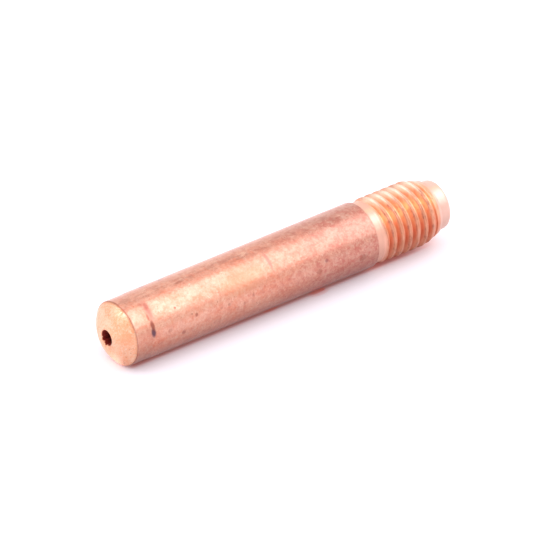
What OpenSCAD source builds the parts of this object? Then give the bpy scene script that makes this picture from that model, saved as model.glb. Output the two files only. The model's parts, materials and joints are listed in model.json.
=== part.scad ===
// Welding contact tip: one piece of copper, turned from drawn rod, with a rolled thread on its tail,
// a plain pilot behind the thread and a bore for the welding wire from end to end.
// It stands on the rear face of its pilot, with its axis along +Z and its domed nose up.

/* [Body] */
// Length from the rear face of the pilot to the rim of the bore in the nose
total_length = 38.1; // [30:0.1:60]
// Diameter of the drawn rod
body_diameter = 6.35; // [6.3:0.05:9]
// Height of the domed nose, from the front edge of the rod to the rim of the bore
nose_height = 1.2; // [0.5:0.05:2.4]
// Bevel that the turning tool leaves at both ends of the rod
edge_break = 0.06; // [0.02:0.01:0.15]
// Length of the land that is skimmed behind the nose
land_length = 1.8; // [0.8:0.1:4]
// How far the land lies below the rod
land_relief = 0.035; // [0.01:0.005:0.1]
// Length of the taper between the land and the rod
land_ramp = 0.6; // [0.2:0.05:1.5]

/* [Wire bore] */
// Diameter of the bore that guides the wire and passes it the current
bore_diameter = 1.5; // [0.8:0.05:2.2]
// Diameter of the funnel in the rear face that leads the wire in
lead_in_diameter = 2.7; // [2.3:0.05:3.6]
// Angle between the funnel's wall and the axis
lead_in_angle = 30; // [20:1:45]

/* [Tail] */
// Length of the tail, from the shoulder to the rear face
tail_length = 9.1; // [7:0.1:14]
// Length of the plain collar between the shoulder and the thread
collar_length = 0.7; // [0.4:0.05:2]
// How far the collar lies below the crests of the thread
collar_relief = 0.155; // [0.05:0.005:0.25]
// Length of the plain pilot behind the thread
pilot_length = 1.35; // [0.8:0.05:2.5]
// How far the pilot lies below the roots of the thread
pilot_relief = 0.265; // [0.05:0.005:0.4]
// Radius round the rear edge of the pilot
pilot_rounding = 0.45; // [0.05:0.01:0.6]

/* [Thread] */
// Diameter over the crests of the thread
thread_diameter = 6.25; // [5.8:0.01:6.28]
// Distance from one crest of the thread to the next
thread_pitch = 0.907; // [0.8:0.001:1]
// Height of the crests above the roots
thread_depth = 0.5; // [0.3:0.01:0.56]
// Angle between a flank of the thread and a plane across the axis
flank_angle = 30; // [20:1:32]
// How far the rolled edges of a crest droop
crest_droop = 0.05; // [0.01:0.01:0.1]
// Length over which the thread rises from the pilot to its full height
thread_lead = 1.6; // [0.5:0.05:2]
// Length over which the thread fades out towards the collar
thread_runout = 0.4; // [0.2:0.05:1.2]
// Height above the pilot at which a crest crosses the +X side
crest_offset = 0.67; // [0:0.01:0.79]

/* [Hidden] */

// Facets round a full circle of a smooth surface
round_steps = 96;
// Facets in one turn of the thread
turn_steps = 40;
// How far a cut runs past the surface that it cuts
overrun = 0.3;
// Step down from the collar to the end of the thread's run-out
runout_step = 0.03;

body_radius = body_diameter / 2;
bore_radius = bore_diameter / 2;
lead_in_radius = lead_in_diameter / 2;
lead_in_depth = (lead_in_radius - bore_radius) / tan(lead_in_angle);

crest_radius = thread_diameter / 2;
mean_radius = crest_radius - thread_depth / 2;
root_radius = crest_radius - thread_depth;
collar_radius = crest_radius - collar_relief;
pilot_radius = root_radius - pilot_relief;

// Heights of the steps along the axis
thread_bottom = pilot_length;
shoulder_height = tail_length;
thread_top = shoulder_height - collar_length;
rod_top = total_length - nose_height;
land_foot = rod_top - land_length;

// The dome is a sphere through the front edge of the land and the rim of the bore.
land_radius = body_radius - land_relief;
dome_base_radius = land_radius - edge_break;
dome_drop = (pow(dome_base_radius, 2) - pow(bore_radius, 2) - pow(nose_height, 2)) / (2 * nose_height);
dome_centre = rod_top - dome_drop;
dome_radius = norm([dome_base_radius, dome_drop]);

// The thread's section over one pitch: each point is a place along the axis and a height
// from the mean diameter.
crest_share = 0.6;
crown_share = 0.5;
flank_run = thread_depth * tan(flank_angle);
crest_width = (thread_pitch - 2 * flank_run) * crest_share;
ridge_half = crest_width / 2 + flank_run;
ridge_section = [
    [-ridge_half, -thread_depth / 2],
    [-crest_width / 2, thread_depth / 2 - crest_droop],
    [-crest_width / 2 * crown_share, thread_depth / 2],
    [crest_width / 2 * crown_share, thread_depth / 2],
    [crest_width / 2, thread_depth / 2 - crest_droop],
    [ridge_half, -thread_depth / 2],
];

// The helix starts below the thread and ends inside the collar, and both ends are cut square.
helix_start = thread_bottom + crest_offset - 2 * thread_pitch;
helix_top = thread_top + overrun;
turns = ceil((helix_top - helix_start) / thread_pitch) + 1;
last_step = turns * turn_steps;

// The run-out is over one flank short of the collar, so no facet rises past the collar's edge.
runout_end = thread_top - flank_run;

// Share of the thread's height that stands at a height along the axis
function runout_at(height) = max(0, min(1, (runout_end - height) / thread_runout));

// Radius of the cone that the thread's lead follows
function lead_cone(height) = root_radius + thread_depth * (height - thread_bottom) / thread_lead;

// Radius of a point of the section, once the run-out and the lead have shaped it
function thread_radius(height, rise) =
    let (share = runout_at(height),
         faded = (mean_radius + rise) * share + (collar_radius - runout_step) * (1 - share))
    min(lead_cone(height), faded);

// A point on the axis at a height
function on_axis(height) = [0, 0, height];

// Point of the section at one step of the helix
function helix_point(step, corner) =
    let (angle = 360 * step / turn_steps,
         height = helix_start + corner[0] + thread_pitch * step / turn_steps,
         radius = thread_radius(height, corner[1]))
    [radius * cos(angle), radius * sin(angle), height];

// Triangles of a fan from one point to each pair of neighbours on a closed loop
function fan(hub, loop) = [
    for (i = [0 : len(loop) - 1]) [hub, loop[i], loop[(i + 1) % len(loop)]]
];

// The thread as a closed solid down to the axis, with a helical step at each end
module helix_solid() {
    corners = len(ridge_section);
    last_corner = corners - 1;
    points = [for (step = [0 : last_step], corner = ridge_section) helix_point(step, corner)];
    base_hub = len(points);
    top_hub = base_hub + 1;
    flank_faces = [
        for (step = [0 : last_step - 1], corner = [0 : last_corner - 1])
            let (here = step * corners + corner, ahead = here + corners)
                each [[here, here + 1, ahead + 1], [here, ahead + 1, ahead]]
    ];
    root_faces = [
        for (step = [0 : last_step - turn_steps - 1])
            let (here = step * corners + last_corner,
                 above = (step + turn_steps) * corners)
                each [[here, above, above + corners], [here, above + corners, here + corners]]
    ];
    base_loop = concat(
        [for (step = [0 : turn_steps]) step * corners],
        [for (corner = [last_corner : -1 : 1]) corner]);
    top_loop = concat(
        [for (step = [last_step : -1 : last_step - turn_steps]) step * corners + last_corner],
        [for (corner = [0 : last_corner - 1]) last_step * corners + corner]);
    polyhedron(
        points = concat(points, [on_axis(points[0][2]), on_axis(points[base_hub - 1][2])]),
        faces = concat(flank_faces, root_faces, fan(base_hub, base_loop), fan(top_hub, top_loop)),
        convexity = turns);
}

// The helix cut square at the pilot and just inside the collar
module thread() {
    intersection() {
        helix_solid();
        translate([0, 0, thread_bottom])
            cylinder(h = helix_top - thread_bottom, r = body_radius + overrun, $fn = round_steps);
    }
}

// Half section of the rod, with a bevel at each end and the land behind the nose
module rod_section() {
    polygon([
        [0, shoulder_height],
        [body_radius - edge_break, shoulder_height],
        [body_radius, shoulder_height + edge_break],
        [body_radius, land_foot - land_ramp],
        [land_radius, land_foot],
        [land_radius, rod_top - edge_break],
        [dome_base_radius, rod_top],
        [0, rod_top],
    ]);
}

// Half section of the domed nose
module dome_section() {
    intersection() {
        translate([0, rod_top])
            square([body_radius, nose_height + overrun]);
        translate([0, dome_centre])
            circle(r = dome_radius, $fn = round_steps);
    }
}

// Half section of the pilot and the core under the thread, with a rounded rear edge
module pilot_section() {
    difference() {
        square([pilot_radius, thread_top + overrun]);
        translate([pilot_radius - pilot_rounding, 0])
            difference() {
                square([pilot_rounding + overrun, pilot_rounding]);
                translate([0, pilot_rounding])
                    circle(r = pilot_rounding, $fn = round_steps);
            }
    }
}

// Half section of the collar
module collar_section() {
    translate([0, thread_top])
        square([collar_radius, shoulder_height - thread_top]);
}

// The turned piece before its thread is rolled and its bore is drilled
module blank() {
    rotate_extrude($fn = round_steps) {
        rod_section();
        dome_section();
        pilot_section();
        collar_section();
    }
}

// The wire bore, with its funnel in the rear face
module wire_bore() {
    translate([0, 0, -overrun])
        cylinder(h = total_length + nose_height + overrun, r = bore_radius, $fn = round_steps);
    translate([0, 0, -overrun])
        cylinder(
            h = lead_in_depth + overrun,
            r1 = lead_in_radius + overrun * tan(lead_in_angle),
            r2 = bore_radius,
            $fn = round_steps);
}

module contact_tip() {
    color("darksalmon")
        difference() {
            union() {
                blank();
                thread();
            }
            wire_bore();
        }
}

contact_tip();
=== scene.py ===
"""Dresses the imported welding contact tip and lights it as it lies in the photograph.

The tip stands on its pilot with its axis along +Z. The camera is turned so that the tip lies across the
picture as it does in the photograph, and the table is a plane along the tip's side.
"""
import json
import logging
import math
from dataclasses import dataclass, field
from enum import Enum

import bmesh
import bpy
from mathutils import Matrix, Vector


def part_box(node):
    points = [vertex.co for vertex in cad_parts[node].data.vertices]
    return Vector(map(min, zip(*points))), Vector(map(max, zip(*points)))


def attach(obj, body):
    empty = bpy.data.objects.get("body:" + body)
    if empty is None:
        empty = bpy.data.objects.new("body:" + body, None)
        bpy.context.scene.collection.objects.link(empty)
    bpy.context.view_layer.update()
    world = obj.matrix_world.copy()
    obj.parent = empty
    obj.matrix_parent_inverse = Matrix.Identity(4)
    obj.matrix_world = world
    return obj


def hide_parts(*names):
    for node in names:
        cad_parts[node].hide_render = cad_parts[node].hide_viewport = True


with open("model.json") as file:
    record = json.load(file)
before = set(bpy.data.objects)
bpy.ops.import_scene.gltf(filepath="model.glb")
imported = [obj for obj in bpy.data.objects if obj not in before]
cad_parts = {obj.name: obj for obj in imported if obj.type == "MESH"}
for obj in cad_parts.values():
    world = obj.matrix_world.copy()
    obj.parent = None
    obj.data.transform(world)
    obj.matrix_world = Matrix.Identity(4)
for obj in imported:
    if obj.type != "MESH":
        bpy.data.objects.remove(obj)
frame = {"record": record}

logging.basicConfig(level=logging.INFO, format="%(message)s")
log = logging.getLogger("contact_tip")

MM = 0.001
NODE = "contact_tip"
BODY = "root"


class Term:
    """A socket's value in a node tree, so that node maths reads as plain Python."""

    def __init__(self, graph: "Graph", value: "bpy.types.NodeSocket | float"):
        """Wraps a value.

        Args:
            graph: The tree that new Math nodes go into.
            value: An output socket, or a plain number.
        """
        self.graph = graph
        self.value = value

    def _math(self, operation: str, *terms: "Term | float") -> "Term":
        """Adds one Math node.

        Args:
            operation: Blender's name of the operation.
            terms: The node's inputs, in order.

        Returns:
            The node's result.
        """
        return self.graph.node("ShaderNodeMath", {"operation": operation}, list(terms))

    def __add__(self, other: "Term | float") -> "Term":
        """Sum."""
        return self._math("ADD", self, other)

    def __radd__(self, other: float) -> "Term":
        """Sum, with the number first."""
        return self._math("ADD", other, self)

    def __sub__(self, other: "Term | float") -> "Term":
        """Difference."""
        return self._math("SUBTRACT", self, other)

    def __rsub__(self, other: float) -> "Term":
        """Difference, with the number first."""
        return self._math("SUBTRACT", other, self)

    def __mul__(self, other: "Term | float") -> "Term":
        """Product."""
        return self._math("MULTIPLY", self, other)

    def __rmul__(self, other: float) -> "Term":
        """Product, with the number first."""
        return self._math("MULTIPLY", other, self)

    def __truediv__(self, other: "Term | float") -> "Term":
        """Quotient."""
        return self._math("DIVIDE", self, other)

    def __rtruediv__(self, other: float) -> "Term":
        """Quotient, with the number first."""
        return self._math("DIVIDE", other, self)

    def __neg__(self) -> "Term":
        """Negative."""
        return self._math("MULTIPLY", self, -1.0)

    def __pow__(self, other: float) -> "Term":
        """Power."""
        return self._math("POWER", self, other)

    def sine(self) -> "Term":
        """Sine of an angle in radians."""
        return self._math("SINE", self)

    def cosine(self) -> "Term":
        """Cosine of an angle in radians."""
        return self._math("COSINE", self)

    def root(self) -> "Term":
        """Square root."""
        return self._math("SQRT", self)

    def size(self) -> "Term":
        """Absolute value."""
        return self._math("ABSOLUTE", self)

    def fraction(self) -> "Term":
        """Part after the decimal point."""
        return self._math("FRACT", self)

    def angle_from(self, across: "Term | float") -> "Term":
        """Angle whose sine part is this term and whose cosine part is the other."""
        return self._math("ARCTAN2", self, across)

    def at_least(self, other: "Term | float") -> "Term":
        """The larger of two."""
        return self._math("MAXIMUM", self, other)

    def at_most(self, other: "Term | float") -> "Term":
        """The smaller of two."""
        return self._math("MINIMUM", self, other)

    def soft_at_least(self, other: "Term | float", blend: "Term | float") -> "Term":
        """The larger of two, with a rounded corner."""
        return self._math("SMOOTH_MAX", self, other, blend)

    def soft_at_most(self, other: "Term | float", blend: "Term | float") -> "Term":
        """The smaller of two, with a rounded corner."""
        return self._math("SMOOTH_MIN", self, other, blend)

    def above(self, other: "Term | float") -> "Term":
        """1 where this term is the larger, else 0."""
        return self._math("GREATER_THAN", self, other)

    def clamped(self) -> "Term":
        """Kept between 0 and 1."""
        return self.at_least(0.0).at_most(1.0)

    def rise(self, low: float, high: float) -> "Term":
        """Smooth step.

        Args:
            low: Where the step starts, at 0.
            high: Where it ends, at 1.

        Returns:
            The step, which falls instead if low is above high.
        """
        start, end = (low, high) if low < high else (high, low)
        step = self.graph.node(
            "ShaderNodeMapRange",
            {"interpolation_type": "SMOOTHSTEP"},
            {"Value": self, "From Min": start, "From Max": end, "To Min": 0.0, "To Max": 1.0},
        )
        return step if low < high else 1.0 - step

    def spot(self, centre: float, half: float) -> "Term":
        """A smooth hump.

        Args:
            centre: Where the hump stands.
            half: How far from there it has all but gone.

        Returns:
            1 at the centre, falling to 0.
        """
        return (self - centre).size().rise(half, 0.0)


class Graph:
    """A node tree that is filled by calls."""

    def __init__(self, tree: bpy.types.NodeTree):
        """Takes over a tree.

        Args:
            tree: The tree, whose old nodes stay.
        """
        self.tree = tree

    def node(
        self,
        kind: str,
        settings: dict[str, object] | None = None,
        inputs: "dict[str, object] | list[object] | None" = None,
        output: str | int = 0,
    ) -> Term:
        """Adds a node.

        Args:
            kind: Blender's name of the node.
            settings: The node's own settings, such as a Math node's operation or a ramp's stops.
            inputs: Values or terms for its sockets, by name or in order.
            output: Which output the result stands for.

        Returns:
            The chosen output.
        """
        made = self.tree.nodes.new(kind)
        for name, value in (settings or {}).items():
            if name == "stops":
                self._stops(made, value)
            else:
                setattr(made, name, value)
        pairs = enumerate(inputs) if isinstance(inputs, list) else (inputs or {}).items()
        for key, value in pairs:
            self.feed(made.inputs[key], value)
        return Term(self, made.outputs[output])

    @staticmethod
    def _stops(ramp: bpy.types.Node, stops: list[tuple[float, tuple[float, float, float]]]) -> None:
        """Sets a colour ramp's stops.

        Args:
            ramp: The Color Ramp node.
            stops: Pairs of place and colour.
        """
        elements = ramp.color_ramp.elements
        while len(elements) < len(stops):
            elements.new(1.0)
        for element, (place, colour) in zip(elements, stops):
            element.position = place
            element.color = (*colour, 1.0)

    def feed(self, socket: bpy.types.NodeSocket, value: object) -> None:
        """Sets or links one input.

        Args:
            socket: The input.
            value: A term, a number, a vector or a colour.
        """
        source = value.value if isinstance(value, Term) else value
        if isinstance(source, bpy.types.NodeSocket):
            self.tree.links.new(source, socket)
        elif socket.type == "RGBA":
            socket.default_value = (*source[:3], 1.0)
        else:
            socket.default_value = source

    def vector(self, x: object, y: object, z: object) -> Term:
        """A vector from three numbers or terms."""
        return self.node("ShaderNodeCombineXYZ", None, [x, y, z])

    def scaled(self, vector: Term, factor: float | Term) -> Term:
        """A vector times a number."""
        return self.node(
            "ShaderNodeVectorMath", {"operation": "SCALE"}, {"Vector": vector, "Scale": factor}
        )

    def mixed(self, factor: object, first: object, second: object) -> Term:
        """A colour between two.

        Args:
            factor: 0 for the first colour, 1 for the second.
            first: The first colour.
            second: The second colour.

        Returns:
            The mixed colour.
        """
        made = self.tree.nodes.new("ShaderNodeMix")
        made.data_type = "RGBA"
        self.feed(made.inputs[0], factor)
        self.feed(made.inputs[6], first)
        self.feed(made.inputs[7], second)
        return Term(self, made.outputs[2])

    def noise(self, where: Term, scale: float, detail: float = 2.0, seed: float = 0.0) -> Term:
        """Smooth noise with a mean near 0.5.

        Args:
            where: The place, in millimetres.
            scale: Lumps to a millimetre.
            detail: Octaves.
            seed: Which pattern.

        Returns:
            The noise.
        """
        return self.node(
            "ShaderNodeTexNoise",
            {"noise_dimensions": "4D"},
            {"Vector": where, "W": seed, "Scale": scale, "Detail": detail, "Roughness": 0.55},
        )


class Surface(Graph):
    """A copper material's tree, with places on the tip in millimetres and degrees."""

    def __init__(self, name: str):
        """Starts a material.

        Args:
            name: The material's name.
        """
        self.material = bpy.data.materials.new(name)
        self.material.use_nodes = True
        super().__init__(self.material.node_tree)
        self.shader = self.tree.nodes["Principled BSDF"]
        place = self.node("ShaderNodeTexCoord", output="Object")
        self.place = self.scaled(place, 1.0 / MM)
        split = self.tree.nodes.new("ShaderNodeSeparateXYZ")
        self.feed(split.inputs[0], self.place)
        self.x, self.y, self.height = (Term(self, s) for s in split.outputs)
        self.radius = (self.x * self.x + self.y * self.y).root()
        # 0 faces the camera, and the angle grows towards the top of the picture.
        self.angle = self.x.angle_from(-self.y) * math.degrees(1.0)

    def streaks(self, length: float, scale: float, seed: float, detail: float = 2.0) -> Term:
        """Noise drawn out along the axis.

        Args:
            length: How many times longer than wide the streaks are.
            scale: Streaks to a millimetre, across.
            seed: Which pattern.
            detail: Octaves.

        Returns:
            The noise.
        """
        return self.noise(self.vector(self.x, self.y, self.height / length), scale, detail, seed)

    def patch(self, angle: float, height: float, wide: float, long: float, ragged: float = 0.0) -> Term:
        """A soft mark at one place on the rod.

        Args:
            angle: Its angle round the axis, in degrees.
            height: Its height, in millimetres.
            wide: Half its width round the axis, in degrees.
            long: Half its length along the axis, in millimetres.
            ragged: How far noise breaks its edge.

        Returns:
            1 in the middle, 0 outside.
        """
        across = (self.angle - angle) / wide
        along = (self.height - height) / long
        reach = (across * across + along * along).root()
        if ragged:
            reach = reach + (self.noise(self.place, 2.6, 3.0, angle) - 0.5) * ragged
        return reach.rise(1.0, 0.35)

    def painted_shade(self, colour: Term, side: Term | float, low: float, top: float) -> Term:
        """Darkens a colour by its side of the tip, a painted shade.

        Args:
            colour: The colour.
            side: Share lost on the side turned to the camera, below the band of light.
            low: Further share lost towards the table.
            top: Share lost on the side turned up.

        Returns:
            The darker colour.
        """
        back = self.angle.rise(-125.0, -85.0)
        lost = self.angle.rise(4.0, -34.0) * back * side + self.angle.rise(-28.0, -50.0) * back * low
        lost = lost + self.angle.rise(34.0, 52.0) * self.angle.rise(178.0, 140.0) * top
        return self.scaled(colour, 1.0 - lost)

    def finish(self, colour: Term, roughness: Term | float, bump: Term | None, depth: float) -> None:
        """Connects the shader.

        Args:
            colour: The base colour.
            roughness: The roughness.
            bump: Heights in millimetres, or None.
            depth: Strength of the bump.
        """
        self.feed(self.shader.inputs["Base Color"], colour)
        self.feed(self.shader.inputs["Roughness"], roughness)
        if bump is not None:
            normal = self.node(
                "ShaderNodeBump",
                None,
                {"Strength": depth, "Distance": MM, "Height": bump},
            )
            self.feed(self.shader.inputs["Normal"], normal)


class Zone(Enum):
    """Which finish a stretch of the turned blank has."""

    NOSE = 0
    ROD = 1
    TAIL = 2
    BORE = 3


class Tone(Enum):
    """Base colours of the marks on the rod."""

    BROWN = (0.38, 0.10, 0.07)
    VIOLET = (0.16, 0.08, 0.11)
    PINK = (0.66, 0.24, 0.19)
    ORANGE = (0.86, 0.38, 0.22)
    RED = (0.86, 0.16, 0.06)


@dataclass(frozen=True)
class Mark:
    """A stain, pit or nick on the rod, or a painted reflection: its place, half its width and length, and its tone."""

    angle: float
    height: float
    wide: float
    long: float
    strength: float
    ragged: float = 0.5
    tone: Tone = Tone.BROWN


@dataclass(frozen=True)
class DrawnSkin:
    """Drawn and tarnished copper, as on the rod."""

    bright: tuple[float, float, float] = (1.0, 0.54, 0.39)
    dull: tuple[float, float, float] = (0.91, 0.32, 0.20)
    mauve: tuple[float, float, float] = (0.68, 0.21, 0.16)
    pinkish: tuple[float, float, float] = (0.60, 0.37, 0.32)
    shade: tuple[float, float, float] = (0.52, 0.15, 0.12)
    painted_sheen: tuple[float, float, float] = (0.90, 0.59, 0.50)
    roughness: float = 0.30
    metallic: float = 0.92

    def build(self, tip: "TipSizes") -> bpy.types.Material:
        """Builds the material.

        Args:
            tip: The tip's sizes.

        Returns:
            The material.
        """
        s = Surface("drawn_copper")
        fine = s.noise(s.place, 5.0, 3.0, 1.0)
        cloud = s.noise(s.place, 0.8, 3.0, 2.0)
        streak = s.streaks(9.0, 1.6, 3.0, 3.0)
        rear = s.height.rise(tip.rod_top - 12.0, tip.shoulder + 2.0)
        grit = s.noise(s.place, 2.3, 3.0, 7.0)
        tarnish = (cloud - 0.5) * 2.0 + (streak - 0.5) * 0.9 + (fine - 0.5) * 1.7 + (grit - 0.5) * 1.4
        tarnish = tarnish + rear * 0.15 + s.height.rise(tip.rod_top - 5.0, tip.rod_top - 11.0) * 0.12 + 0.37
        colour = s.mixed(tarnish.clamped(), self.bright, self.dull)
        colour = s.mixed(rear * 0.45, colour, self.pinkish)
        # The mottle and specks are kept fainter along the band of light, a painted highlight.
        off_highlight = 1.0 - s.angle.spot(16.0, 30.0) * 0.5
        mottle = s.noise(s.place, 2.4, 4.0, 4.0).rise(0.42, 0.66) * (rear * 0.55 + 0.28) * off_highlight
        colour = s.mixed(mottle, colour, self.mauve)
        specks = s.noise(s.place, 4.6, 2.0, 9.0).rise(0.52, 0.66) * (rear * 0.40 + 0.30) * off_highlight
        colour = s.mixed(specks, colour, self.mauve)
        flecks = s.noise(s.place, 4.0, 2.0, 10.0).rise(0.56, 0.68) * 0.5
        colour = s.mixed(flecks, colour, self.bright)
        pits = s.noise(s.place, 3.6, 2.0, 6.0).rise(0.66, 0.76)
        colour = s.mixed(pits * 0.45, colour, Tone.BROWN.value)
        drift = (s.noise(s.vector(0.0, 0.0, s.height), 0.35, 3.0, 8.0) - 0.5) * 16.0
        drawn = s.streaks(2.2, 2.2, 5.0, 4.0)
        line = (s.angle + drift).spot(49.0, 20.0) * drawn.rise(0.40, 0.62) * (0.36 - rear * 0.10)
        colour = s.mixed(line, colour, Tone.BROWN.value)
        # Pink along the ramp behind the land: partly tarnish on the ramp, partly painted shade where the lamp's
        # highlight breaks off.
        ramp = s.height.spot(tip.land_foot - 0.34, 0.52) * s.angle.spot(17.0, 36.0)
        colour = s.mixed(ramp * 0.8, colour, Tone.PINK.value)
        for mark in tip.stains_and_reflections:
            spot = s.patch(mark.angle, mark.height, mark.wide, mark.long, mark.ragged)
            colour = s.mixed(spot * mark.strength, colour, mark.tone.value)
        # Painted shade: the side turned to the table is darkened towards the shade colour, standing in for the
        # shadowed table that it mirrors, and the side turned up is paler, a painted sheen.
        under = (s.angle + 108.0).size().rise(70.0, 26.0)
        colour = s.mixed(under * 0.50, colour, self.shade)
        pale = s.angle.spot(92.0, 55.0) * (cloud.rise(0.38, 0.60) * 0.6 + 0.35)
        colour = s.mixed(pale * (rear * 0.15 + 0.62), colour, self.painted_sheen)
        # Dark line at the rod's front edge: partly a brown rim, partly painted shade along the edge.
        edge = s.height.spot(tip.rod_top, 0.11)
        colour = s.mixed(edge * (s.angle.spot(42.0, 60.0) * 0.35 + 0.5), colour, Tone.BROWN.value)
        roughness = self.roughness + (cloud - 0.5) * 0.16 + (fine - 0.5) * 0.10 + ramp * 0.15 + rear * 0.04
        bump = (fine - 0.5) * 0.022 + (streak - 0.5) * 0.016 + (cloud - 0.5) * 0.03
        s.shader.inputs["Metallic"].default_value = self.metallic
        # The colour is darkened by side, a painted shade, a little more on the land.
        land = s.height.rise(tip.land_foot - 0.3, tip.land_foot + 0.3)
        # The band of light is darkened by a tenth, except about the middle of the rod: painted shade on the highlight.
        band = s.angle.spot(20.0, 30.0) * (1.0 - s.height.spot(32.0, 5.0)) * 0.10
        colour = s.scaled(s.painted_shade(colour, land * 0.06 + 0.29, 0.13, 0.08), 1.0 - band)
        s.finish(colour, roughness, bump, 1.0)
        return s.material


@dataclass(frozen=True)
class TurnedNose:
    """Fresh copper with the rings of the turning tool, as on the dome."""

    bright: tuple[float, float, float] = (1.0, 0.63, 0.44)
    deep: tuple[float, float, float] = (1.0, 0.42, 0.23)
    brown: tuple[float, float, float] = (0.42, 0.14, 0.07)
    glint: tuple[float, float, float] = (1.0, 0.86, 0.60)
    roughness: float = 0.42
    rings_per_mm: float = 9.0

    def build(self, tip: "TipSizes") -> bpy.types.Material:
        """Builds the material.

        Args:
            tip: The tip's sizes.

        Returns:
            The material.
        """
        s = Surface("turned_copper")
        wander = (s.noise(s.place, 1.2, 2.0, 11.0) - 0.5) * 0.9
        rings = ((s.radius + wander * 0.06) * (self.rings_per_mm * 2.0 * math.pi)).sine()
        cloud = s.noise(s.place, 1.1, 3.0, 12.0)
        fine = s.noise(s.place, 6.0, 2.0, 13.0)
        # Deeper colour on the side turned to the camera and below it, a painted shade.
        wear_and_shade = s.angle.spot(-4.0, 56.0) * 0.42 + 0.40
        colour = s.mixed(
            ((cloud - 0.5) * 1.8 + (fine - 0.5) * 2.6 + wear_and_shade + rings * 0.12).clamped(),
            self.bright,
            self.deep,
        )
        glint = s.noise(s.place, 3.6, 2.0, 14.0).rise(0.54, 0.64) * s.angle.spot(26.0, 60.0)
        colour = s.mixed(glint * s.radius.rise(1.9, 2.8), colour, self.glint)
        scratch = s.noise(s.vector(s.x, s.y * 0.4, s.height), 4.4, 2.0, 15.0).rise(0.60, 0.70)
        colour = s.mixed(scratch * s.radius.rise(1.2, 2.4) * 0.45, colour, self.brown)
        edge = s.radius.rise(tip.nose_edge_radius - 0.17, tip.nose_edge_radius + 0.01)
        colour = s.mixed(edge * (s.angle.spot(42.0, 60.0) * 0.55 + 0.32), colour, self.brown)
        rim = s.radius.rise(tip.bore_radius + 0.10, tip.bore_radius)
        colour = s.mixed(rim * 0.5, colour, self.brown)
        bump = rings * 0.0016 + (fine - 0.5) * 0.006
        s.shader.inputs["Metallic"].default_value = 0.92
        # The colour is darkened by side, a painted shade.
        s.finish(s.painted_shade(colour, 0.20, 0.06, 0.02), self.roughness + (cloud - 0.5) * 0.2, bump, 1.0)
        return s.material


@dataclass(frozen=True)
class CutTail:
    """Clean pale copper, as on the collar, the pilot and the thread."""

    bright: tuple[float, float, float] = (0.98, 0.64, 0.53)
    deep: tuple[float, float, float] = (0.96, 0.54, 0.42)
    warm: tuple[float, float, float] = (0.97, 0.49, 0.35)
    crest: tuple[float, float, float] = (0.76, 0.31, 0.18)
    lit: tuple[float, float, float] = (1.0, 0.86, 0.68)
    groove: tuple[float, float, float] = (1.0, 0.51, 0.31)
    rusty: tuple[float, float, float] = (0.92, 0.33, 0.20)
    glint: tuple[float, float, float] = (1.0, 0.68, 0.38)
    roughness: float = 0.35

    def build(self, name: str, tip: "TipSizes", rolled: bool) -> bpy.types.Material:
        """Builds the material.

        Args:
            name: The material's name.
            tip: The tip's sizes.
            rolled: Whether the surface is the thread.

        Returns:
            The material.
        """
        s = Surface(name)
        cloud = s.noise(s.place, 1.5, 3.0, 21.0)
        fine = s.noise(s.place, 8.0, 2.0, 22.0)
        colour = s.mixed(((cloud - 0.5) * 1.2 + 0.4).clamped(), self.bright, self.deep)
        colour = s.mixed(s.height.rise(tip.pilot_length + 0.2, tip.thread_top) * 0.8, colour, self.warm)
        # Painted highlight where the band of light falls, and a yellow-orange stripe just above it.
        colour = s.mixed(s.angle.spot(16.0, 14.0) * 0.45, colour, self.lit)
        colour = s.mixed(s.angle.spot(36.0, 9.0) * 0.35, colour, self.glint)
        if rolled:
            inner = s.height.rise(tip.thread_top - 0.15, tip.thread_top - 0.55)
            inner = inner * s.height.rise(tip.pilot_length + 0.18, tip.pilot_length + 0.45)
            # The crests turned up get a painted highlight, and the flanks there keep less orange, a painted sheen.
            dull = 1.0 - s.angle.spot(78.0, 48.0)
            wear_and_shade = s.noise(s.place, 2.0, 3.0, 23.0).rise(0.25, 0.60)
            rolled_grain = s.vector(s.x * 0.5, s.y * 0.5, s.height * 1.7)
            grain = s.noise(rolled_grain, 3.0, 3.0, 24.0)
            top = s.mixed(grain.rise(0.50, 0.64) * 0.55, self.crest, Tone.BROWN.value)
            top = s.mixed(s.angle.spot(58.0, 34.0), top, self.lit)
            colour = s.mixed(inner * (wear_and_shade * 0.4 + 0.6), colour, top)
            flank = (s.radius + (grain - 0.5) * 0.22).rise(tip.crest_radius - 0.08, tip.crest_radius - 0.19)
            metal = s.mixed(grain.rise(0.44, 0.66) * 0.7, self.groove, self.rusty)
            # Deeper orange-red towards the lower side, a painted shade, and painted glints where the band of light
            # falls.
            metal = s.mixed(s.angle.rise(-8.0, -40.0) * 0.75, metal, self.rusty)
            metal = s.mixed(s.angle.spot(14.0, 21.0) * grain.rise(0.62, 0.44) * 0.75, metal, self.glint)
            colour = s.mixed(flank * inner * (dull * 0.7 + 0.3), colour, metal)
        bump = (fine - 0.5) * 0.008 + (cloud - 0.5) * 0.01
        # The colour is darkened by side, a painted shade, a little more on the collar.
        collar = s.height.rise(tip.thread_top - 0.2, tip.thread_top + 0.1)
        s.shader.inputs["Metallic"].default_value = 0.86 if rolled else 0.62
        s.finish(s.painted_shade(colour, collar * 0.06 + 0.17, 0.08, 0.0), self.roughness + (fine - 0.5) * 0.2, bump, 1.0)
        return s.material


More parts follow.
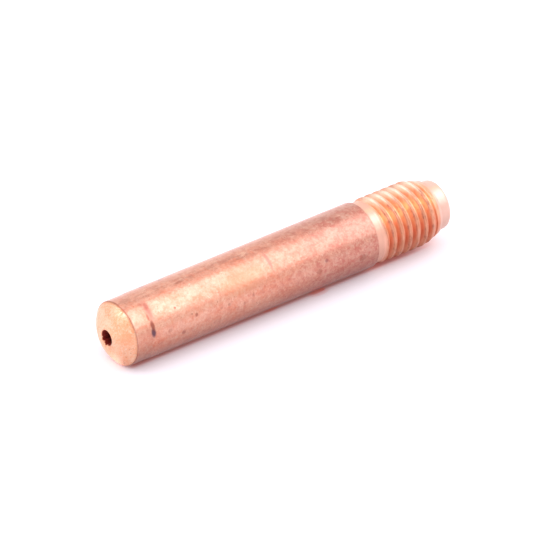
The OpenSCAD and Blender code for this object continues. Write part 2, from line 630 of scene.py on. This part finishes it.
@dataclass(frozen=True)
class BoreSootAndShade:
    """The dark wall of the wire bore: soot, and painted shade that deepens into the bore."""

    near: tuple[float, float, float] = (0.34, 0.03, 0.02)
    deep: tuple[float, float, float] = (0.03, 0.005, 0.004)

    def build(self, tip: "TipSizes") -> bpy.types.Material:
        """Builds the material.

        Args:
            tip: The tip's sizes.

        Returns:
            The material.
        """
        s = Surface("bore_wall")
        # Darker with depth into the bore, a painted shade.
        colour = s.mixed(s.height.rise(tip.length, tip.length - 1.8), self.near, self.deep)
        s.shader.inputs["Metallic"].default_value = 0.2
        s.finish(colour, 0.6 + (s.noise(s.place, 3.0, 2.0, 31.0) - 0.5) * 0.2, None, 0.0)
        return s.material


@dataclass
class TipSizes:
    """Sizes of the tip, in millimetres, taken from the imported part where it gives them."""

    length: float
    body_radius: float
    bore_radius: float
    pilot_radius: float
    crest_radius: float
    shoulder: float
    thread_depth: float = 0.50
    thread_pitch: float = 0.907
    nose_height: float = 1.20
    edge_break: float = 0.06
    collar_length: float = 0.70
    collar_relief: float = 0.155
    pilot_length: float = 1.35
    pilot_rounding: float = 0.45
    crest_offset: float = 0.67
    lead_in_radius: float = 1.35
    lead_in_depth: float = 1.04
    land_length: float = 1.80
    land_relief: float = 0.035
    land_ramp: float = 0.60
    stains_and_reflections: tuple[Mark, ...] = (
        Mark(-22.5, 34.99, 11.5, 0.33, 0.95, 0.2, Tone.VIOLET),
        Mark(-10.0, 34.94, 13.0, 0.27, 0.85, 0.2, Tone.BROWN),
        Mark(6.0, 35.10, 9.0, 0.15, 0.60, 0.3, Tone.BROWN),
        Mark(31.0, 35.15, 6.0, 0.34, 0.42, 0.9, Tone.BROWN),
        Mark(24.0, 34.70, 9.0, 0.30, 0.35, 0.8, Tone.BROWN),
        Mark(3.3, 32.08, 2.8, 0.17, 0.75, 0.2, Tone.BROWN),
        Mark(7.0, 33.60, 1.8, 0.10, 0.45, 0.2, Tone.PINK),
        Mark(1.5, 33.30, 1.8, 0.10, 0.45, 0.2, Tone.PINK),
        Mark(18.0, 30.16, 3.0, 0.18, 0.35, 0.4, Tone.PINK),
        Mark(-21.0, 30.08, 4.5, 0.22, 0.60, 0.5, Tone.BROWN),
        Mark(-17.0, 30.55, 2.5, 0.12, 0.50, 0.3, Tone.BROWN),
        Mark(-30.0, 33.20, 4.0, 0.35, 0.35, 0.8, Tone.BROWN),
        Mark(-43.0, 31.65, 6.0, 0.32, 0.50, 0.7, Tone.BROWN),
        Mark(-26.0, 26.40, 3.5, 0.24, 0.50, 0.6, Tone.BROWN),
        Mark(-27.0, 27.30, 3.0, 0.22, 0.35, 0.7, Tone.BROWN),
        Mark(-26.0, 23.60, 6.5, 0.16, 0.45, 0.6, Tone.BROWN),
        Mark(-35.0, 24.70, 5.0, 0.20, 0.35, 0.7, Tone.BROWN),
        Mark(-33.0, 16.00, 7.0, 0.45, 0.40, 0.9, Tone.BROWN),
        Mark(-20.0, 15.10, 5.0, 0.30, 0.35, 0.9, Tone.VIOLET),
        Mark(-40.0, 11.00, 9.0, 0.60, 0.45, 0.9, Tone.BROWN),
        Mark(57.0, 13.00, 9.0, 0.60, 0.32, 0.9, Tone.BROWN),
        Mark(40.0, 12.20, 9.0, 0.90, 0.24, 0.9, Tone.BROWN),
        Mark(44.0, 30.20, 4.0, 0.70, 0.45, 0.8, Tone.BROWN),
        Mark(42.0, 23.00, 4.5, 0.80, 0.28, 0.9, Tone.BROWN),
        Mark(46.0, 21.20, 4.0, 0.50, 0.28, 0.9, Tone.BROWN),
        Mark(30.0, 25.50, 3.0, 0.22, 0.40, 0.6, Tone.ORANGE),
        Mark(18.0, 20.90, 24.0, 0.26, 0.75, 0.3, Tone.PINK),
        Mark(4.0, 24.30, 32.0, 3.40, 0.38, 0.9, Tone.ORANGE),
        Mark(79.0, 33.05, 6.0, 0.32, 0.90, 0.3, Tone.VIOLET),
        # Painted reflections of the red light that the copper throws on the table, on the side turned to the table.
        Mark(-76.0, 15.90, 12.0, 1.10, 0.80, 0.6, Tone.RED),
        Mark(-82.0, 22.50, 10.0, 1.30, 0.50, 0.6, Tone.RED),
        Mark(75.0, 31.10, 6.0, 0.60, 0.45, 0.8, Tone.VIOLET),
    )

    @classmethod
    def from_frame(cls) -> "TipSizes":
        """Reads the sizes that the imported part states.

        Returns:
            The sizes.
        """
        low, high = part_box(NODE)
        mounts = {m["name"]: m for m in frame["record"]["mounts"]}
        return cls(
            length=high.z / MM,
            body_radius=mounts["body"]["dims"]["r_mm"],
            bore_radius=mounts["wire_bore"]["dims"]["r_mm"],
            pilot_radius=mounts["pilot"]["dims"]["r_mm"],
            crest_radius=mounts["thread"]["dims"]["r_mm"],
            shoulder=mounts["shoulder"]["pos_m"][2] / MM,
        )

    @property
    def rod_top(self) -> float:
        """Height of the rod's front edge."""
        return self.length - self.nose_height

    @property
    def land_radius(self) -> float:
        """Radius of the land behind the dome."""
        return self.body_radius - self.land_relief

    @property
    def nose_edge_radius(self) -> float:
        """Radius of the dome's edge."""
        return self.land_radius - self.edge_break

    @property
    def root_radius(self) -> float:
        """Radius of the thread's roots."""
        return self.crest_radius - self.thread_depth

    @property
    def collar_radius(self) -> float:
        """Radius of the collar."""
        return self.crest_radius - self.collar_relief

    @property
    def land_foot(self) -> float:
        """Height of the lower edge of the land behind the dome."""
        return self.rod_top - self.land_length

    @property
    def thread_top(self) -> float:
        """Height of the collar's lower edge."""
        return self.shoulder - self.collar_length


def arc(centre: tuple[float, float], radius: float, start: float, end: float, steps: int) -> list[tuple[float, float]]:
    """Points along an arc of a half section.

    Args:
        centre: Radius and height of its centre.
        radius: Its own radius.
        start: First angle, in radians from the outward direction.
        end: Last angle.
        steps: How many stretches.

    Returns:
        The points, ends included.
    """
    return [
        (
            centre[0] + radius * math.cos(start + (end - start) * i / steps),
            centre[1] + radius * math.sin(start + (end - start) * i / steps),
        )
        for i in range(steps + 1)
    ]


@dataclass
class TurnedBlank:
    """The turned piece: dome, rod, collar, core, pilot and bore, in one closed skin."""

    sizes: TipSizes
    steps_round: int = 240
    row_gap: float = 0.10
    burr_angle: float = -162.0
    burr_height: float = 0.20
    burrs: tuple[tuple[float, float, float], ...] = (
        (0.0, 8.0, 1.0),
        (22.0, 8.0, -0.8),
        (-20.0, 7.0, -0.6),
        (-38.0, 6.0, 0.6),
        (42.0, 6.0, 0.5),
    )

    def section(self) -> list[tuple[float, float, Zone]]:
        """Lists the closed half section.

        Returns:
            Radius, height and finish of each point, from the bore's mouth outwards and down.
        """
        t = self.sizes
        drop = (t.nose_edge_radius**2 - t.bore_radius**2 - t.nose_height**2) / (2 * t.nose_height)
        centre = (0.0, t.rod_top - drop)
        dome_radius = math.hypot(t.nose_edge_radius, drop)
        start = math.acos((t.bore_radius + 0.05) / dome_radius)
        end = math.acos(t.nose_edge_radius / dome_radius)
        points: list[tuple[float, float, Zone]] = []

        def run(stretch: list[tuple[float, float]], zone: Zone) -> None:
            """Adds a stretch of points with one finish."""
            points.extend((r, z, zone) for r, z in stretch)

        run([(t.bore_radius, t.length - 0.10), (t.bore_radius + 0.015, t.length - 0.04)], Zone.NOSE)
        run(arc(centre, dome_radius, start, end, 28), Zone.NOSE)
        run(
            [
                (t.nose_edge_radius + 0.02, t.rod_top - 0.015),
                (t.land_radius - 0.01, t.rod_top - t.edge_break * 0.7),
                (t.land_radius, t.rod_top - t.edge_break * 1.6),
            ],
            Zone.ROD,
        )
        rod_foot = t.shoulder + t.edge_break
        rows = round((t.rod_top - t.edge_break * 2 - rod_foot) / self.row_gap)
        for i in range(1, rows):
            height = t.rod_top - t.edge_break * 2 - self.row_gap * i
            run([(self.rod_radius(height), height)], Zone.ROD)
        run(
            [
                (t.body_radius, rod_foot),
                (t.body_radius - 0.02, t.shoulder + 0.02),
                (t.body_radius - t.edge_break, t.shoulder),
            ],
            Zone.ROD,
        )
        run(
            [
                (t.collar_radius + 0.03, t.shoulder),
                (t.collar_radius, t.shoulder - 0.03),
                (t.collar_radius, (t.shoulder + t.thread_top) / 2),
                (t.collar_radius, t.thread_top + 0.03),
                (t.collar_radius, t.thread_top),
                (t.collar_radius - 0.012, t.thread_top - 0.012),
                (t.pilot_radius, t.thread_top - 0.02),
                (t.pilot_radius, t.pilot_length),
                (t.pilot_radius, t.pilot_length / 2),
            ],
            Zone.TAIL,
        )
        corner = (t.pilot_radius - t.pilot_rounding, t.pilot_rounding)
        run(arc(corner, t.pilot_rounding, 0.0, -math.pi / 2, 8), Zone.TAIL)
        run([(t.lead_in_radius + 0.03, 0.0), (t.lead_in_radius, 0.02)], Zone.TAIL)
        run([(t.bore_radius, t.lead_in_depth)], Zone.TAIL)
        bore_rows = 12
        reach = t.length - 0.10 - t.lead_in_depth
        for i in range(1, bore_rows):
            run([(t.bore_radius, t.lead_in_depth + reach * i / bore_rows)], Zone.BORE)
        return points

    def build(self) -> bpy.types.Object:
        """Spins the section into a closed mesh.

        Returns:
            The piece, with each face given the index of its zone's material slot.
        """
        section = self.section()
        count, rows = self.steps_round, len(section)
        verts = []
        for i in range(count):
            angle = 2 * math.pi * i / count
            verts.extend(self.shaped(r, angle, z) for r, z, _ in section)
        faces, zones = [], []
        for i in range(count):
            ahead = (i + 1) % count
            for j in range(rows):
                below = (j + 1) % rows
                faces.append((i * rows + j, i * rows + below, ahead * rows + below, ahead * rows + j))
                zones.append(section[below][2] if section[j][2] is Zone.NOSE else section[j][2])
        mesh = bpy.data.meshes.new("turned_blank")
        mesh.from_pydata(verts, [], faces)
        for polygon, zone in zip(mesh.polygons, zones):
            polygon.material_index = zone.value
            polygon.use_smooth = True
        mesh.update()
        piece = bpy.data.objects.new("turned_blank", mesh)
        bpy.context.scene.collection.objects.link(piece)
        return piece

    def rod_radius(self, height: float) -> float:
        """Radius of the rod, which tapers down to the land.

        Args:
            height: A height on the rod or the land, in millimetres.

        Returns:
            The radius, in millimetres.
        """
        t = self.sizes
        share = min(1.0, max(0.0, (height - t.land_foot + t.land_ramp) / t.land_ramp))
        return t.body_radius - t.land_relief * share

    def shaped(self, radius: float, angle: float, height: float) -> tuple[float, float, float]:
        """Places a point of the section, with the dents that the real tip has.

        Args:
            radius: Its radius on the true section, in millimetres.
            angle: Its angle round the axis, in radians.
            height: Its height, in millimetres.

        Returns:
            The point, in metres.
        """
        t = self.sizes
        facing = math.degrees(math.atan2(math.cos(angle), -math.sin(angle)))
        if height > t.length - 0.2 and radius < t.bore_radius + 0.2:
            for offset, width, share in self.burrs:
                swing = (facing - self.burr_angle - offset + 180.0) % 360.0 - 180.0
                radius -= self.burr_height * share * math.exp(-((swing / width) ** 2))
        return (radius * math.cos(angle) * MM, radius * math.sin(angle) * MM, height * MM)


@dataclass
class RolledThread:
    """The rolled thread, grown as a helix by Geometry Nodes."""

    sizes: TipSizes
    steps_per_turn: int = 128
    steps_per_pitch: int = 30
    flank_angle: float = 30.0
    crest_share: float = 0.6
    lead: float = 1.6
    runout: float = 0.40
    runout_gap: float = 0.20
    runout_step: float = 0.006
    corner: float = 0.045
    seam: float = 0.030
    seam_half: float = 0.07
    wobble: float = 0.02
    core_gap: float = 0.15
    values: dict[str, float] = field(default_factory=dict)

    def build(self) -> bpy.types.Object:
        """Grows the thread and turns it into a plain mesh.

        Returns:
            The piece.
        """
        material = CutTail().build("rolled_copper", self.sizes, True)
        tree = self.tree(material)
        carrier = bpy.data.objects.new("rolled_thread_carrier", bpy.data.meshes.new("carrier"))
        bpy.context.scene.collection.objects.link(carrier)
        modifier = carrier.modifiers.new("grow", "NODES")
        modifier.node_group = tree
        for item in tree.interface.items_tree:
            if item.item_type == "SOCKET" and item.in_out == "INPUT" and item.name in self.values:
                modifier[item.identifier] = self.values[item.name]
        bpy.context.view_layer.update()
        evaluated = carrier.evaluated_get(bpy.context.evaluated_depsgraph_get())
        mesh = bpy.data.meshes.new_from_object(evaluated)
        mesh.name = "rolled_thread"
        carrier.modifiers.remove(modifier)
        bpy.data.objects.remove(carrier)
        for polygon in mesh.polygons:
            polygon.use_smooth = True
        piece = bpy.data.objects.new("rolled_thread", mesh)
        bpy.context.scene.collection.objects.link(piece)
        return piece

    def tree(self, material: bpy.types.Material) -> bpy.types.NodeTree:
        """Builds the tree that grows the thread.

        Args:
            material: The thread's finish.

        Returns:
            The Geometry Nodes tree.
        """
        t = self.sizes
        tree = bpy.data.node_groups.new("thread_helix", "GeometryNodeTree")
        tree.interface.new_socket("Geometry", in_out="OUTPUT", socket_type="NodeSocketGeometry")
        flank_run = t.thread_depth * math.tan(math.radians(self.flank_angle))
        self.values = {
            "Pitch": t.thread_pitch,
            "Crest radius": t.crest_radius,
            "Depth": t.thread_depth,
            "Crest half width": (t.thread_pitch - 2 * flank_run) * self.crest_share / 2,
            "Flank run": flank_run,
            "Bottom": t.pilot_length,
            "Top": t.thread_top,
            "Crest offset": t.crest_offset,
            "Collar radius": t.collar_radius,
            "Lead": self.lead,
            "Run-out": self.runout,
            "Run-out gap": self.runout_gap,
            "Run-out step": self.runout_step,
            "Corner": self.corner,
            "Seam": self.seam,
            "Wobble": self.wobble,
            "Core radius": t.pilot_radius - self.core_gap,
        }
        for name, value in self.values.items():
            socket = tree.interface.new_socket(name, in_out="INPUT", socket_type="NodeSocketFloat")
            socket.default_value = value
        g = Graph(tree)
        inputs = tree.nodes.new("NodeGroupInput")
        given = {name: Term(g, inputs.outputs[name]) for name in self.values}
        turns = math.ceil((t.thread_top - t.pilot_length) / t.thread_pitch) + 3
        around = turns * self.steps_per_turn

        grid = tree.nodes.new("GeometryNodeMeshGrid")
        grid.inputs["Size X"].default_value = turns
        grid.inputs["Size Y"].default_value = 1.0
        grid.inputs["Vertices X"].default_value = around + 1
        grid.inputs["Vertices Y"].default_value = self.steps_per_pitch + 1
        spot = tree.nodes.new("GeometryNodeInputPosition")
        split = tree.nodes.new("ShaderNodeSeparateXYZ")
        g.feed(split.inputs[0], Term(g, spot.outputs[0]))
        turn = Term(g, split.outputs[0]) + turns / 2
        share = Term(g, split.outputs[1])
        angle = turn * (2 * math.pi)
        free = given["Bottom"] + given["Crest offset"] + (turn - 2.0 + share) * given["Pitch"]
        height = free.at_least(given["Bottom"]).at_most(given["Top"])
        outside = (free - given["Top"]).above(1e-5) + (given["Bottom"] - free).above(1e-5)

        # Section of the ridge: a flat crest, straight flanks and a flat root, with rounded corners
        away = share.size() * given["Pitch"]
        slope = given["Depth"] / given["Flank run"]
        flank = given["Crest radius"] - (away - given["Crest half width"]) * slope
        root = given["Crest radius"] - given["Depth"]
        section = flank.soft_at_most(given["Crest radius"], given["Corner"])
        section = section.soft_at_least(root, given["Corner"])
        seam = (1.0 - away / self.seam_half).at_least(0.0)
        wander = g.noise(
            g.vector(angle.cosine() * 3.0, angle.sine() * 3.0, height), 2.5, 2.0, 41.0
        )
        crest = (section - root) / given["Depth"]
        section = section - seam * given["Seam"] * (wander * 2.0) + (wander - 0.5) * given["Wobble"] * crest
        fade = ((given["Top"] - given["Run-out gap"] - height) / given["Run-out"]).clamped()
        end = given["Collar radius"] - given["Run-out step"]
        faded = end + (section - end) * fade
        cone = root + given["Depth"] * (height - given["Bottom"]) / given["Lead"]
        outer = faded.soft_at_most(cone, 0.03)
        radius = outer * (1.0 - outside) + given["Core radius"] * outside
        place = g.scaled(g.vector(radius * angle.cosine(), radius * angle.sine(), height), MM)
        moved = g.node(
            "GeometryNodeSetPosition", None, {"Geometry": Term(g, grid.outputs["Mesh"]), "Position": place}
        )

        core = tree.nodes.new("GeometryNodeMeshCylinder")
        core.fill_type = "NONE"
        core.inputs["Vertices"].default_value = self.steps_per_turn
        g.feed(core.inputs["Radius"], given["Core radius"] * MM)
        g.feed(core.inputs["Depth"], (given["Top"] - given["Bottom"]) * MM)
        lift = g.vector(0.0, 0.0, (given["Top"] + given["Bottom"]) * (0.5 * MM))
        inside = g.node(
            "GeometryNodeTransform", None, {"Geometry": Term(g, core.outputs["Mesh"]), "Translation": lift}
        )
        inside = g.node("GeometryNodeFlipFaces", None, {"Mesh": inside})
        join = tree.nodes.new("GeometryNodeJoinGeometry")
        tree.links.new(moved.value, join.inputs[0])
        tree.links.new(inside.value, join.inputs[0])
        merged = g.node(
            "GeometryNodeMergeByDistance", None, {"Geometry": Term(g, join.outputs[0]), "Distance": 2e-6}
        )
        real = g.node("GeometryNodeRealizeInstances", None, {"Geometry": merged})
        dressed = g.node("GeometryNodeSetMaterial", None, {"Geometry": real, "Material": material})
        output = tree.nodes.new("NodeGroupOutput")
        tree.links.new(dressed.value, output.inputs[0])
        return tree


@dataclass
class ContactTip:
    """The whole tip, as a turned blank and the thread rolled on it."""

    sizes: TipSizes

    def build(self) -> list[bpy.types.Object]:
        """Builds and dresses the tip.

        Returns:
            Its pieces.
        """
        blank = TurnedBlank(self.sizes).build()
        for material in (
            TurnedNose().build(self.sizes),
            DrawnSkin().build(self.sizes),
            CutTail().build("cut_copper", self.sizes, False),
            BoreSootAndShade().build(self.sizes),
        ):
            blank.data.materials.append(material)
        thread = RolledThread(self.sizes).build()
        for piece in (blank, thread):
            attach(piece, BODY)
            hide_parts(NODE)
        return [blank, thread]


@dataclass
class PhotoView:
    """How the photograph looks at the tip."""

    lean: float = 31.35
    slope: float = 22.2
    table_tilt: float = 31.7
    nose_pixel: tuple[float, float] = (116.9, 333.7)
    picture: float = 533.0
    pixels_per_mm: float = 11.01
    distance: float = 2.0
    sensor: float = 36.0

    def axes(self) -> tuple[Vector, Vector, Vector]:
        """Gives the camera's own axes.

        Returns:
            The directions to the right, up and back, as unit vectors.
        """
        lean = math.radians(self.lean)
        roll = -math.pi / 2 - math.radians(self.slope)
        across = Vector((1.0, 0.0, 0.0))
        above = Vector((0.0, math.sin(lean), math.cos(lean)))
        back = Vector((0.0, -math.cos(lean), math.sin(lean)))
        right = across * math.cos(roll) + above * math.sin(roll)
        up = above * math.cos(roll) - across * math.sin(roll)
        return right, up, back

    def table_normal(self) -> Vector:
        """Gives the direction straight up from the table that the tip lies on."""
        _, up, back = self.axes()
        tilt = math.radians(self.table_tilt)
        normal = up * math.cos(tilt) + back * math.sin(tilt)
        return Vector((normal.x, normal.y, 0.0)).normalized()

    def place_camera(self, sizes: TipSizes) -> bpy.types.Object:
        """Adds the camera.

        Args:
            sizes: The tip's sizes.

        Returns:
            The camera.
        """
        right, up, back = self.axes()
        middle = self.picture / 2
        nose = Vector((0.0, 0.0, sizes.rod_top))
        aim = (
            nose
            + right * ((middle - self.nose_pixel[0]) / self.pixels_per_mm)
            + up * ((self.nose_pixel[1] - middle) / self.pixels_per_mm)
        ) * MM
        data = bpy.data.cameras.new("camera")
        data.sensor_width = self.sensor
        data.lens = self.sensor * self.distance * self.pixels_per_mm / MM / self.picture
        data.clip_end = 100.0
        camera = bpy.data.objects.new("camera", data)
        turn = Matrix((right, up, back)).transposed().to_4x4()
        camera.matrix_world = Matrix.Translation(aim + back * self.distance) @ turn
        bpy.context.scene.collection.objects.link(camera)
        bpy.context.scene.camera = camera
        return camera


@dataclass(frozen=True)
class Fleck:
    """Light that the copper throws on the table: its place, half its size and its strength."""

    reach: float
    height: float
    wide: float
    long: float
    strength: float


@dataclass
class Studio:
    """The pale table, the soft lamps and the pale room."""

    view: PhotoView
    sizes: TipSizes
    table_size: float = 1.6
    room_level: float = 0.90
    room_tint: tuple[float, float, float] = (1.0, 0.97, 1.0)
    lamp_power: float = 0.82
    lamp_size: float = 0.50
    lamp_distance: float = 0.50
    lamp_angle: float = 27.5
    lamp_tint: tuple[float, float, float] = (0.95, 1.02, 1.14)
    front_towards: tuple[float, float, float] = (0.56, -0.16, 0.81)
    front_power: float = 0.12
    front_size: float = 0.46
    top_towards: tuple[float, float, float] = (0.76, -0.34, 0.55)
    top_power: float = 0.85
    top_size: float = 0.55
    table_paper: tuple[float, float, float] = (0.68, 0.665, 0.67)
    table_seen: tuple[float, float, float] = (0.93, 0.91, 0.93)
    table_glow: float = 0.175
    under_glow: float = 0.60
    glow_tint: tuple[float, float, float] = (1.0, 0.90, 0.97)
    copper_light: tuple[float, float, float] = (0.80, 0.38, 0.32)
    contact_shade: tuple[float, float, float] = (0.64, 0.14, 0.10)
    fleck_tint: tuple[float, float, float] = (0.82, 0.12, 0.04)
    flecks: tuple[Fleck, ...] = (
        Fleck(1.36, 15.0, 0.42, 1.2, 0.80),
        Fleck(1.34, 14.4, 0.34, 0.5, 1.00),
        Fleck(1.70, 14.9, 0.60, 1.5, 0.35),
        Fleck(1.24, 20.2, 0.34, 1.2, 0.65),
    )

    def build(self) -> None:
        """Adds the table, the lamps and the room."""
        self.table()
        self.lamps()
        self.room()

    def table(self) -> bpy.types.Object:
        """Adds the table as a plane along the tip's side, seen only from its face.

        Returns:
            The plane.
        """
        normal = self.view.table_normal()
        centre = Vector((0.0, 0.0, self.sizes.length / 2 * MM)) - normal * self.sizes.body_radius * MM
        side = normal.cross(Vector((0.0, 0.0, 1.0)))
        half = self.table_size / 2
        corners = [
            centre + side * (half * a) + Vector((0.0, 0.0, half * b))
            for a, b in ((-1, -1), (1, -1), (1, 1), (-1, 1))
        ]
        mesh = bpy.data.meshes.new("table")
        mesh.from_pydata(corners, [], [(0, 1, 2, 3)])
        mesh.update()
        if mesh.polygons[0].normal.dot(normal) < 0:
            mesh.flip_normals()
        table = bpy.data.objects.new("table", mesh)
        bpy.context.scene.collection.objects.link(table)
        table.data.materials.append(self.table_material())
        return table

    def table_material(self) -> bpy.types.Material:
        """Makes white paper that reads as white to the eye, keeps the shadow and has no back.

        Returns:
            The material.
        """
        material = bpy.data.materials.new("table_paper")
        material.use_nodes = True
        g = Graph(material.node_tree)
        material.node_tree.nodes.clear()
        seen = self.seen(g)
        place = self.table_place(g)
        near = self.near_contact(place, 2.1, 1.0)
        white = g.mixed(near * 0.6, self.table_seen, self.copper_light)
        white = g.mixed(self.near_contact(place, 1.68, 1.25) * 0.7, white, self.contact_shade)
        for fleck in self.flecks:
            white = g.mixed(self.fleck(place, fleck) * fleck.strength, white, self.fleck_tint)
        paper = g.node("ShaderNodeBsdfDiffuse", None, {"Color": g.mixed(seen, self.table_paper, white)})
        # Light under the contact line, which only the side that lies on the table mirrors.
        unseen = 1.0 - g.node("ShaderNodeLightPath", output="Is Camera Ray")
        under = place[0].spot(0.0, 1.4) * unseen * self.under_glow
        # The glow is weakened beside the contact line, a painted shadow.
        strength = seen * self.table_glow * (1.0 - near * 0.8) + under
        glow = g.node("ShaderNodeEmission", None, {"Color": self.glow_tint, "Strength": strength})
        both = g.node("ShaderNodeAddShader", None, [paper, glow])
        clear = g.node("ShaderNodeBsdfTransparent")
        back = g.node("ShaderNodeNewGeometry", output="Backfacing")
        mixed = g.node("ShaderNodeMixShader", None, [back, both, clear])
        out = material.node_tree.nodes.new("ShaderNodeOutputMaterial")
        g.feed(out.inputs["Surface"], mixed)
        return material

    def seen(self, g: Graph) -> Term:
        """Tells the rays that show a surface, directly or in the metal, from those that light it.

        Args:
            g: The tree that the result is used in.

        Returns:
            1 for a ray that shows the surface, 0 for one that lights something.
        """
        path = g.tree.nodes.new("ShaderNodeLightPath")
        camera, glossy, through = (
            Term(g, path.outputs[name])
            for name in ("Is Camera Ray", "Is Glossy Ray", "Is Transmission Ray")
        )
        return camera.at_least(glossy).at_least(through)

    def table_place(self, g: Graph) -> tuple[Term, Term]:
        """Gives the place of a spot of the table beside the line that the tip rests on.

        Args:
            g: The table material's tree.

        Returns:
            The distance from the line, towards the camera, and the height along the tip's axis.
        """
        side = self.view.table_normal().cross(Vector((0.0, 0.0, 1.0)))
        split = g.tree.nodes.new("ShaderNodeSeparateXYZ")
        g.feed(split.inputs[0], g.scaled(g.node("ShaderNodeTexCoord", output="Object"), 1.0 / MM))
        x, y, height = (Term(g, s) for s in split.outputs)
        return x * side.x + y * side.y, height

    def near_contact(self, place: tuple[Term, Term], far: float, close: float) -> Term:
        """Measures how near a spot of the table is to the line that the tip rests on.

        Args:
            place: The spot's distance from the line and its height.
            far: Distance at which the result falls to 0, in millimetres.
            close: Distance at which it reaches 1.

        Returns:
            1 close beside the line, 0 far from it.
        """
        reach, height = place
        along = height.rise(0.5, 6.0) * height.rise(self.sizes.length - 1.2, self.sizes.length - 2.4)
        return reach.rise(far, close) * reach.rise(-0.6, 0.4) * along

    def fleck(self, place: tuple[Term, Term], fleck: Fleck) -> Term:
        """Marks where the tip throws a fleck of light on the table.

        Args:
            place: The spot's distance from the line that the tip rests on, and its height.
            fleck: The fleck.

        Returns:
            1 in its middle, 0 outside.
        """
        reach, height = place
        across = (reach - fleck.reach) / fleck.wide
        along = (height - fleck.height) / fleck.long
        return (across * across + along * along).root().rise(1.0, 0.3)

    def lamps(self) -> None:
        """Adds the lamp mirrored as the band along the rod, and those for the nose and the table."""
        _, _, back = self.view.axes()
        turn = math.radians(self.lamp_angle)
        reach = math.hypot(back.x, back.y)
        towards = Vector((math.sin(turn) * reach, -math.cos(turn) * reach, -back.z))
        middle = Vector((0.0, 0.0, self.sizes.length / 2 * MM))
        self.lamp("softbox", middle + towards * self.lamp_distance, middle, self.lamp_power, self.lamp_size)
        nose = Vector((0.0, 0.0, self.sizes.length * MM))
        ahead = Vector(self.front_towards).normalized() * self.lamp_distance
        self.lamp("front_softbox", nose + ahead, nose, self.front_power, self.front_size)
        above = Vector(self.top_towards).normalized() * self.lamp_distance
        self.lamp("top_softbox", nose + above, nose, self.top_power, self.top_size)

    def lamp(self, name: str, place: Vector, aim: Vector, power: float, size: float) -> None:
        """Adds one square area lamp.

        Args:
            name: Its name.
            place: Where it stands.
            aim: What it faces.
            power: Its power, in watts.
            size: Its side, in metres.
        """
        data = bpy.data.lights.new(name, "AREA")
        data.energy = power
        data.color = self.lamp_tint
        data.size = size
        lamp = bpy.data.objects.new(name, data)
        lamp.matrix_world = Matrix.Translation(place) @ (aim - place).to_track_quat("-Z", "Y").to_matrix().to_4x4()
        bpy.context.scene.collection.objects.link(lamp)

    def room(self) -> None:
        """Makes the world a pale room, white where it is seen directly."""
        world = bpy.data.worlds.new("room")
        world.use_nodes = True
        bpy.context.scene.world = world
        g = Graph(world.node_tree)
        world.node_tree.nodes.clear()
        seen = self.seen(g)
        strength = seen * (1.0 - self.room_level) + self.room_level
        tint = g.mixed(seen, self.room_tint, (1.0, 1.0, 1.0))
        light = g.node("ShaderNodeBackground", None, {"Color": tint, "Strength": strength})
        out = world.node_tree.nodes.new("ShaderNodeOutputWorld")
        g.feed(out.inputs["Surface"], light)


def corners(box: tuple) -> list[list[float]]:
    """Turns a box into plain lists of numbers."""
    return [[float(v) for v in corner] for corner in box]


def main() -> None:
    """Builds the scene in order and reports each piece."""
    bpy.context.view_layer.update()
    bpy.context.scene.view_settings.view_transform = "Standard"
    sizes = TipSizes.from_frame()
    view = PhotoView()
    view.place_camera(sizes)
    for piece in ContactTip(sizes).build():
        log.info("%s: %d faces", piece.name, len(piece.data.polygons))
    Studio(view, sizes).build()


if __name__ == "__main__":
    main()
